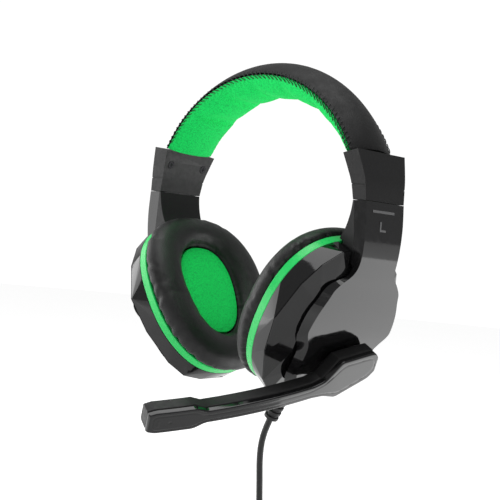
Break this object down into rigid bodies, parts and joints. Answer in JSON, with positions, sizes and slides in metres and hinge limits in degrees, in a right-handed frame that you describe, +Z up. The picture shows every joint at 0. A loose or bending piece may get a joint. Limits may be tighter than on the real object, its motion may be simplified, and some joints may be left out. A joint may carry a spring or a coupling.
{
  "type": "gaming headset",
  "caption": "Over-ear gaming headset: padded headband arch on sliding arms, tilting cushioned ear cups, swinging microphone boom and a coiled cord with an audio plug",
  "frame": {"origin": "highest point of the headband pad's underside, midway between the ear cups, where a head or a hook bears", "axes": "+X towards the wearer's left ear cup, -Y the way the wearer looks, +Z up"},
  "size_m": [0.174, 0.163, 0.383],
  "materials": {
    "black_leatherette": "soft sheen",
    "green_fabric": "matt knit",
    "spring_steel": "brushed",
    "wire_sleeve": "matt",
    "dark_plastic": "satin",
    "screw_steel": "dull",
    "gloss_black": "polished",
    "grey_print": "matt",
    "brass_leaf": "rolled",
    "green_plastic": "glossy",
    "inner_plastic": "matt",
    "driver_steel": "plated",
    "grey_felt": "felted",
    "board_green": "solder mask",
    "cord_rubber": "satin",
    "plug_metal": "polished"
  },
  "bodies": {
    "headband": {"headband_cover": "black_leatherette", "headband_pad": "green_fabric", "spring_strip": "spring_steel", "crossover_wire": "wire_sleeve", "cap_outer_left": "dark_plastic", "cap_outer_right": "dark_plastic", "cap_inner_left": "dark_plastic", "cap_inner_right": "dark_plastic", "cap_screws_left": "screw_steel", "cap_screws_right": "screw_steel", "slider_rail_left": "spring_steel", "slider_rail_right": "spring_steel"},
    "arm_left": {"arm_outer_left": "gloss_black", "arm_inner_left": "dark_plastic", "side_mark_left": "grey_print", "click_spring_left": "brass_leaf", "tilt_pin_left": "screw_steel", "boom_hub": "dark_plastic"},
    "arm_right": {"arm_outer_right": "gloss_black", "arm_inner_right": "dark_plastic", "side_mark_right": "grey_print", "click_spring_right": "brass_leaf", "tilt_pin_right": "screw_steel"},
    "cup_left": {"cup_shell_left": "gloss_black", "cup_base_left": "gloss_black", "cup_screws_left": "screw_steel", "trim_ring_left": "green_plastic", "baffle_left": "inner_plastic", "driver_frame_left": "driver_steel", "driver_magnet_left": "driver_steel", "damping_felt_left": "grey_felt", "ear_cushion_left": "black_leatherette", "ear_mesh_left": "green_fabric", "circuit_board": "board_green", "cord_gland": "cord_rubber", "cord_tube": "cord_rubber", "cord_coil": "cord_rubber", "cord_tie": "cord_rubber", "cord_tail": "cord_rubber", "plug_body": "cord_rubber", "plug_pin": "plug_metal"},
    "cup_right": {"cup_shell_right": "gloss_black", "cup_base_right": "gloss_black", "cup_screws_right": "screw_steel", "trim_ring_right": "green_plastic", "baffle_right": "inner_plastic", "driver_frame_right": "driver_steel", "driver_magnet_right": "driver_steel", "damping_felt_right": "grey_felt", "ear_cushion_right": "black_leatherette", "ear_mesh_right": "green_fabric"},
    "boom": {"boom_back": "dark_plastic", "boom_front": "gloss_black", "mic_capsule": "driver_steel", "mic_foam": "grey_felt"}
  },
  "joints": [
    {"name": "slider_left", "type": "slide", "parent": "headband", "child": "arm_left", "axis": [0.0698, 0, -0.9976], "range_m": [0, 0.025]},
    {"name": "slider_right", "type": "slide", "parent": "headband", "child": "arm_right", "axis": [-0.0698, 0, -0.9976], "range_m": [0, 0.025]},
    {"name": "tilt_left", "type": "hinge", "parent": "arm_left", "child": "cup_left", "pos_m": [0.07018, -0.003, -0.1173], "axis": [0, 1, 0], "range_deg": [-3, 3]},
    {"name": "tilt_right", "type": "hinge", "parent": "arm_right", "child": "cup_right", "pos_m": [-0.07018, -0.003, -0.1173], "axis": [0, 1, 0], "range_deg": [-3, 3]},
    {"name": "boom_swing", "type": "hinge", "parent": "arm_left", "child": "boom", "pos_m": [0.07289, 0.004, -0.15632], "axis": [-0.8788, 0, 0.4772], "range_deg": [-20, 110]}
  ]
}
